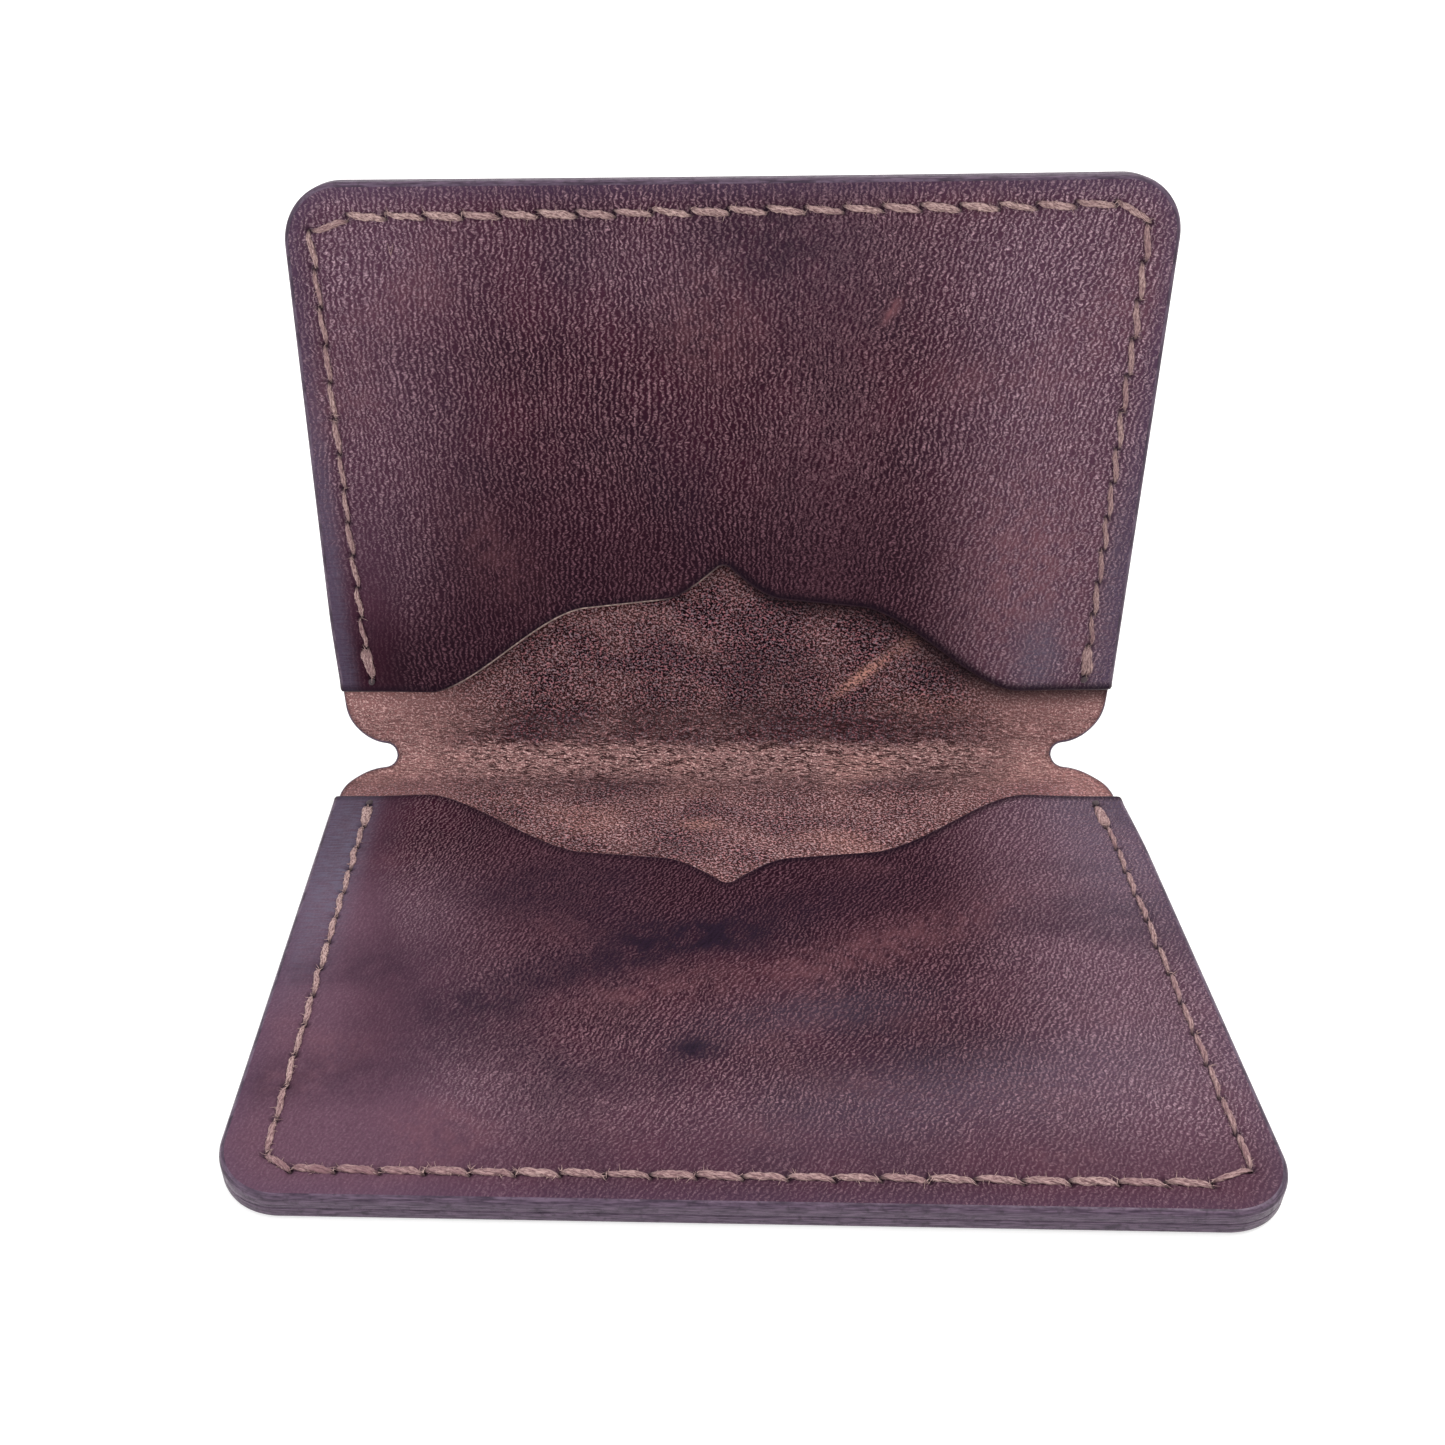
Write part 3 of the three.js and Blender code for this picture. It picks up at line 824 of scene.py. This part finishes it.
def pocket_marks(leaf, x, y):
    """What handling has left on a pocket (darkened, smoky and rubbed places), its painted sheen, painted
    shade and dark burnish inside its mouth and painted highlight on its rim, and how its grain leans, each
    from 0 to 1."""
    if leaf == "upper":
        # Painted sheen: paler, hazier places where the lights would reflect.
        haze = 0.75 * smooth(x, 22, 46) * (1 - 0.9 * hump(x, y, (44, -11), (13, 10)))
        haze += smooth(-x, 18, 40) * smooth(y, -80, -58) + 0.35 * smooth(-y, 50, 68)
        haze += 0.2 * hump(x, y, (10, -61), (10, 6)) + 0.5 * hump(x, y, (-46, -66), (6, 6))
        deep = smooth(y, -48, -23) * (1 - smooth(np.abs(x - 5), 24, 42))
        deep += 0.7 * hump(x, y, (40, -12), (9, 7))
        stain = 0.7 * hump(x, y, (-5, -65), (9, 5)) + 0.3 * hump(x, y, (-12, -57), (8, 6))
        stain += 0.25 * smooth(wave(x, y, (9, 26), 3.1), 0.15, 0.7)
        rubbed = 0.9 * hump(x, y, (-19, -57), (1.8, 0.5), 1.0) + 0.5 * hump(x, y, (-38, -24), (8, 14))
        rubbed += 0.2 * smooth(wave(x, y, (15, 12), 6.6), 0.1, 0.6) * (1 - hump(x, y, (8, -27), (11, 9)))
        rubbed += 0.2 * hump(x, y, (29, -28), (4, 8), 0.6)
        lean = smooth(-x, 0, 26)
        glossy = 0.6 * smooth(x, 38, 45) * smooth(y, -46, -16) + 0.34 * smooth(x, 0, 30)
        glossy -= 0.2 * smooth(-x, 20, 34)
        # Painted blue-grey sheen near the sides and the mouth.
        bloom = 0.5 * smooth(x, 47.4, 50) * smooth(y, -60, -30) + 0.6 * hump(x, y, (-41, -13), (3.5, 6))
        bloom += 0.4 * smooth(-x, 46, 49) * smooth(y, -50, -20)
        # Dark burnish and painted shade inside the mouth, stronger towards -x.
        brim = 0.7 + 0.3 * smooth(-x, -8, 6)
        # The pale rim on part of the mouth: unburnished cut with a painted highlight.
        raw = smooth(x, 6, 10) * (1 - smooth(x, 33, 38)) + 0.7 * hump(x, y, (2.5, -24.5), (1.6, 3))
        raw *= smooth(y, -34, -28)
    else:
        raw = np.zeros(len(x))
        # Painted sheen: paler, hazier places where the lights would reflect.
        haze = 0.5 * smooth(-x, 38, 46) + 0.6 * smooth(-x, 16, 36) * smooth(-y, 18, 32)
        haze += 0.75 * smooth(x, 20, 42) * smooth(y, -74, -48) + 0.35 * smooth(-y, 48, 62)
        deep = 0.85 * smooth(y, -58, -28) * (1 - smooth(np.abs(x + 2), 22, 38))
        deep += 0.5 * hump(x, y, (12, -26), (15, 5))
        stain = 0.9 * hump(x, y, (-8, -37), (24, 3.4), 0.38)
        stain += 1.2 * hump(x, y, (-4.4, -52.5), (2.8, 1.7), 0.2)
        stain += 0.45 * hump(x, y, (17, -54), (12, 6), 0.3)
        stain += 0.45 * smooth(wave(x, y, (26, 8), 7.7), 0.1, 0.6)
        rubbed = 0.35 * hump(x, y, (14, -38), (14, 3), 0.38) + 0.25 * hump(x, y, (-8, -43), (9, 3), 0.3)
        rubbed += 0.12 * hump(x, y, (30, -30), (10, 3), 0.5)
        rubbed += 0.15 * smooth(wave(x, y, (12, 6), 2.2), 0.1, 0.6)
        lean = smooth(x, -34, -4)
        glossy = smooth(-x, 22, 38) * smooth(-y, 22, 46) + 0.9 * smooth(-x, 36, 44)
        glossy += 0.7 * smooth(-y, 56, 67)
        # Painted blue-grey sheen, streaky, near the sides and the outer end.
        streaky = 0.7 + 0.3 * wave(x, y, (1.2, 30), 4.4)
        bloom = smooth(-x, 43, 47.5) * smooth(y, -52, -24) * streaky
        bloom += 0.4 * smooth(x, 36, 46) * smooth(y, -46, -14)
        bloom += 0.25 * hump(x, y, (24, -57), (22, 5), 0.22) + 0.2 * hump(x, y, (8, -47), (14, 3.5), 0.2)
        # Dark burnish and painted shade inside the mouth, stronger towards +x.
        brim = 0.55 + 0.3 * smooth(x, -2, 8)
    marks = {"haze": haze, "deep": deep, "stain": stain, "rubbed": rubbed, "bloom": bloom}
    marks.update({"lean": lean, "smooth": glossy, "brim": brim, "raw": raw})
    return {name: np.clip(values, 0, 1) for name, values in marks.items()}


def everywhere(x, y):
    return np.ones(len(x), bool)


def make_pocket(leaf, seam, chance):
    outline = pocket_outline()
    mouth = mouth_line()

    def high_shift(x, y):
        dip = seam.furrow(x, y, 0.16, 0.6, 0.45) * smooth(edge_distance(x, y), 0.3, 1.6)
        return pocket_lift(x, y) + 0.07 * wave(x, y, 16, 1.7) * smooth(edge_distance(x, y), 0, 8) - dip

    def low_shift(x, y):
        return pocket_lift(x, y) + (CARD_SLOT - LAYER_LINE) * smooth(edge_distance(x, y), 4.5, 9)

    def fields(flat):
        x, y = flat[:, 0], flat[:, 1]
        return {
            **pocket_marks(leaf, x, y),
            "border": np.clip(edge_distance(x, y), 0, 20),
            "mouth": nearest(flat, mouth),
            "stitch": seam.hole_distance(x, y),
        }

    def near_seam(x, y):
        return seam.distance(x, y) < 1.4

    def away(x, y):
        return seam.distance(x, y) >= 1.4

    piece = leather_sheet(
        f"{leaf}_pocket_leather",
        leaf,
        outline,
        (LAYER_LINE, POCKET_TOP),
        (low_shift, high_shift),
        ([(HIDDEN_STEP, everywhere)], [(SEAM_STEP, near_seam), (FINE_STEP, away)]),
        (FINISHES["flesh"], FINISHES["edge"], FINISHES["grain"][leaf]),
        fields,
        chance,
    )
    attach(piece, f"{leaf}_leaf")
    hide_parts(f"{leaf}_pocket")


def cover_marks(leaf, x, y):
    """The same for the cover: its flesh side is creased at the fold, and a painted light level makes it
    pale at the fold and darkest on the upper leaf (painted shade).
    """
    from_fold = HALF_FOLD - y
    sides = smooth(np.abs(x), 28, 43)
    ragged = 0.8 * wave(x, y, (9, 4), 5.3) + 0.6 * wave(x, y, (2.2, 2), 1.9)
    if leaf == "upper":
        # A painted light level: full at the fold, with painted shade over the upper leaf away from the fold
        # and its sides.
        tan = 1.0 - 0.9 * smooth(from_fold + ragged, 0.7, 2.4) * (1 - 0.8 * sides)
        stain = 0.35 * smooth(wave(x, y, (13, 7), 5.9), 0.0, 0.5) * smooth(from_fold, 3, 6) * (1 - sides)
        rubbed = hump(x, y, (-18.6, -9.6), (4.2, 0.75), 0.72)
        rubbed += 0.5 * hump(x, y, (-24.6, -14.4), (1.8, 0.9), 0.72) + 0.2 * hump(x, y, (-28, -5), (6, 2))
    else:
        # A painted light level: full at the fold, with painted shade away from it.
        tan = 1.0 - 0.72 * smooth(from_fold, 1.0, 6)
        stain = 0.3 * smooth(wave(x, y, (22, 6), 4.1), 0.1, 0.6) + 0.3 * hump(x, y, (-16, -5), (8, 4))
        rubbed = 0.4 * hump(x, y, (-3, -12), (2.5, 1.2)) + 0.2 * smooth(wave(x, y, (12, 6), 8.8), 0.1, 0.6)
    marks = {
        "tan": tan,
        "stain": stain,
        "rubbed": rubbed,
        "smooth": 0.8 * sides,
        "fold": (1 - smooth(from_fold, 4, 9)) * (1 - 0.6 * sides),
        # Painted sheen on the cover's grain side, in random patches.
        "haze": 0.35 + 0.35 * wave(x, y, (20, 12), 2.9),
        "deep": 0.3 * smooth(wave(x, y, (16, 20), 7.1), -0.2, 0.5),
        "bloom": np.zeros(len(x)),
        "lean": smooth(x, -20, 30),
    }
    return {name: np.clip(values, 0, 1) for name, values in marks.items()}


def make_cover(leaf, seam, chance):
    outline = cover_outline()
    free_edge = outline["points"][outline["low"] > 0]
    mouth = mouth_line()

    def high_shift(x, y):
        sewn = (1 - smooth(edge_distance(x, y), 2, 7)) * (1 - smooth(y, MOUTH_Y - 1, MOUTH_Y + 3))
        ripple = 0.06 * wave(x, y, 14, 6.1) * smooth(y, MOUTH_Y - 16, MOUTH_Y)
        return (LAYER_LINE + LAYER_GAP) * (sewn - 1) + ripple

    def low_shift(x, y):
        keeps_flat = smooth(edge_distance(x, y), 0.3, 1.6)
        return keeps_flat * (seam.furrow(x, y, 0.5, 0.75, 0.5) + 0.05 * (1 + wave(x, y, 18, 8.4)))

    def fields(flat):
        x, y = flat[:, 0], flat[:, 1]
        # Painted shadow under the pocket mouth: it grows with closeness to the mouth, thinner on the upper
        # leaf's +x side.
        shadow_thinning = 1.6 - 1.25 * smooth(-x, -4, 8) if leaf == "upper" else 1.0
        return {
            **cover_marks(leaf, x, y),
            "border": nearest(flat, free_edge),
            "mouth": np.full(len(flat), 20.0),
            "slot": nearest(flat, mouth) * shadow_thinning,
            "brim": np.zeros(len(flat)),
            "stitch": seam.hole_distance(x, y),
        }

    def seen(x, y):
        return y > MOUTH_Y - 21

    def hidden(x, y):
        return y <= MOUTH_Y - 21

    def near_fold(x, y):
        return y > HALF_FOLD - 0.4

    def near_seam(x, y):
        return seam.distance(x, y) < 1.5

    def away(x, y):
        return seam.distance(x, y) >= 1.5

    piece = leather_sheet(
        f"{leaf}_cover_leather",
        leaf,
        outline,
        (COVER_BACK, LAYER_LINE - LAYER_GAP),
        (low_shift, high_shift),
        (
            [(SEAM_STEP, near_seam), (BACK_STEP, away)],
            [(FINE_STEP, seen), (HIDDEN_STEP, hidden), (FOLD_STEP, near_fold)],
        ),
        (FINISHES["grain"]["lower"], FINISHES["edge"], FINISHES["flesh"]),
        fields,
        chance,
    )
    if leaf == "lower":
        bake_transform(piece)
        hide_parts("lower_cover", "fold_strip")
    else:
        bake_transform(piece)
        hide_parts("upper_cover")


# ---------------------------------------------------------------- the stitches
class Strands:
    """Closed tubes gathered into one mesh."""

    def __init__(self):
        self.points, self.faces, self.twist, self.sunk, self.melted, self.soil = [], [], [], [], [], []
        self.count = 0

    def tube(self, path, radius, flatness=1.0, sides=7, melted=0.0, base=None, soil=0.5):
        way = np.gradient(path, axis=0)
        way /= np.linalg.norm(way, axis=1)[:, None]
        across = np.cross(way, (0, 0, 1.0))
        across /= np.linalg.norm(across, axis=1)[:, None] + 1e-9
        up = np.cross(across, way)
        angles = np.arange(sides) / sides * 2 * math.pi
        cos, sin = np.cos(angles)[None, :, None], np.sin(angles)[None, :, None]
        circle = cos * across[:, None] + flatness * sin * up[:, None]
        rings = path[:, None] + radius[:, None, None] * circle
        length = np.concatenate([[0], np.cumsum(np.linalg.norm(np.diff(path, axis=0), axis=1))])
        for ring in range(len(path) - 1):
            a, b = self.count + ring * sides, self.count + (ring + 1) * sides
            self.faces += [(a + s, a + (s + 1) % sides, b + (s + 1) % sides, b + s) for s in range(sides)]
        self.faces.append(tuple(range(self.count + sides - 1, self.count - 1, -1)))
        last = self.count + (len(path) - 1) * sides
        self.faces.append(tuple(range(last, last + sides)))
        self.points.append(rings.reshape(-1, 3))
        around = angles[None] * radius.max()
        spread = np.stack(np.broadcast_arrays(length[:, None], around, self.count / 97.0), 2)
        self.twist.append(spread.reshape(-1, 3))
        # How far into its dive each point is, for the painted shade there.
        depth = np.zeros(len(path)) if base is None else base
        self.sunk.append(np.repeat(depth, sides))
        self.melted.append(np.full(len(path) * sides, melted))
        self.soil.append(np.full(len(path) * sides, soil))
        self.count += len(path) * sides

    def piece(self, name, leaf, material):
        flat = np.vstack(self.points)
        mesh = bpy.data.meshes.new(name)
        mesh.from_pydata(placed(flat, leaf), [], self.faces)
        mesh.materials.append(material)
        keep_field(mesh, "flat", flat)
        keep_field(mesh, "twist", np.vstack(self.twist))
        keep_field(mesh, "sunk", np.concatenate(self.sunk))
        keep_field(mesh, "melted", np.concatenate(self.melted))
        keep_field(mesh, "soil", np.concatenate(self.soil))
        return tidied(mesh)


def stitch(strands, start, end, height, dive, swell, chance, flip=1, soil=0.5):
    """One stitch: three plies twisted together, flattened, and drawn down into the leather at both ends."""
    steps = 19
    s = np.linspace(-1, 1, steps)
    step = end - start
    span = np.linalg.norm(step)
    along = step / span
    across = np.array([-along[1], along[0]])
    middle = (start + end) / 2
    ends = np.abs(s) ** 5
    bow = 0.09 * np.sin(s * math.pi) * chance.uniform(0.2, 1.5)
    phase = chance.uniform(0, 2 * math.pi)
    width = swell * (1 - 0.66 * np.abs(s) ** 3) * chance.uniform(0.88, 1.16)
    for ply in range(PLIES):
        turn = phase + 2 * math.pi * ply / PLIES + s * 2.4
        sideways = bow + 0.2 * width * np.cos(turn)
        sideways += chance.normal(0, 0.025, steps)
        plan = middle + np.outer(s * span / 2, along) + np.outer(sideways, across)
        lift = height + flip * (0.12 * width * np.sin(turn) + 0.05 * (1 - s * s)) - flip * dive * ends
        radius = THREAD_PLY * width * (1 - 0.25 * ends) * chance.uniform(0.85, 1.15, steps)
        strands.tube(np.column_stack([plan, lift]), radius, 0.82, base=ends, soil=soil)


def hair(strands, root, way, length, chance):
    """A loose fibre that stands off a stitch and tapers away."""
    t = np.linspace(0, 1, 6)[:, None]
    curl = chance.uniform(-0.5, 0.5, 3) * length
    path = root + way * length * t + curl * t * t * 0.6
    path[:, 2] = np.clip(path[:, 2], root[2] - 0.05, root[2] + 0.26)
    strands.tube(path, 0.06 * (1 - 0.8 * t[:, 0]), 1.0, 4, soil=chance.uniform(0.1, 0.6))


def make_stitches(leaf, seam, chance):
    strands = Strands()
    front, back = POCKET_TOP - 0.07, COVER_BACK + 0.33
    last = len(seam.holes) - 2
    for index in range(last + 1):
        start = seam.holes[index] + seam.reach[index]
        end = seam.holes[index + 1] - seam.reach[index + 1]
        run = seam.runs[index + 1]
        height = front + chance.uniform(-0.03, 0.03)
        swell = THREAD_SWELL[leaf][run]
        soil = THREAD_SOIL[leaf][run] + chance.uniform(-0.1, 0.3)
        if leaf == "lower":
            soil += 0.6 * math.exp(-abs(index - SIDE_STITCHES) / 3.5)
        soil = min(max(soil, 0), 1)
        stitch(strands, start, end, height, 0.36, swell, chance, soil=soil)
        stitch(strands, seam.holes[index], seam.holes[index + 1], back, 0.5, 0.86, chance, flip=-1)
        doubled = index in (0, last)
        if doubled:
            across = np.array([-(end - start)[1], (end - start)[0]]) / np.linalg.norm(end - start)
            for aside, lift in ((0.42, 0.0), (-0.3, -0.03)):
                beside, beyond = start + across * aside, end + across * aside * 0.5
                stitch(strands, beside, beyond, height + lift, 0.5, 1.0, chance, soil=soil)
        for _ in range(24 if doubled else 15 if leaf == "lower" and run < 2 else 8):
            at = start + (end - start) * chance.uniform(0.02, 0.98)
            angle = chance.uniform(0, 2 * math.pi)
            way = np.array([math.cos(angle), math.sin(angle), chance.uniform(-0.1, 0.3)])
            hair(strands, np.array([*at, front + 0.04]), way, chance.uniform(0.45, 0.95) * swell, chance)
    if leaf == "upper":
        for _ in range(9):
            way = np.array([chance.uniform(-0.35, 0.35), chance.choice([-1.0, 1.0]), 0.02])
            hair(strands, np.array([*LINT_AT, front]), way, chance.uniform(0.6, 1.5), chance)
    for end in (0, -1):
        knot = seam.holes[end] + (0, 0.45)
        s = np.linspace(-1, 1, 9)
        path = np.column_stack([knot[0] + s * 0.3, knot[1] + s * 0.42, np.full(9, POCKET_TOP - 0.05)])
        strands.tube(path, 0.4 * np.sqrt(1.02 - s * s), 0.6, 9, melted=1.0)
    piece = strands.piece(f"{leaf}_stitches", leaf, FINISHES["thread"])
    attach(piece, f"{leaf}_leaf")
    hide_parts(f"{leaf}_seam_thread")


# ---------------------------------------------------------------- the scene
make_camera()
make_studio()
make_floor()
FINISHES = {
    "grain": {leaf: grain_leather(f"{leaf}_grain", leaf) for leaf in LEAVES},
    "flesh": flesh_leather("napped_flesh"),
    "edge": burnished_edge("burnished_edge", tone(98, 80, 98), tone(52, 38, 54)),
    "thread": waxed_thread("waxed_thread"),
}
for number, leaf_name in enumerate(LEAVES):
    luck = np.random.default_rng(40 + number)
    leaf_seam = Seam(leaf_name, luck)
    make_cover(leaf_name, leaf_seam, luck)
    make_pocket(leaf_name, leaf_seam, luck)
    make_stitches(leaf_name, leaf_seam, luck)
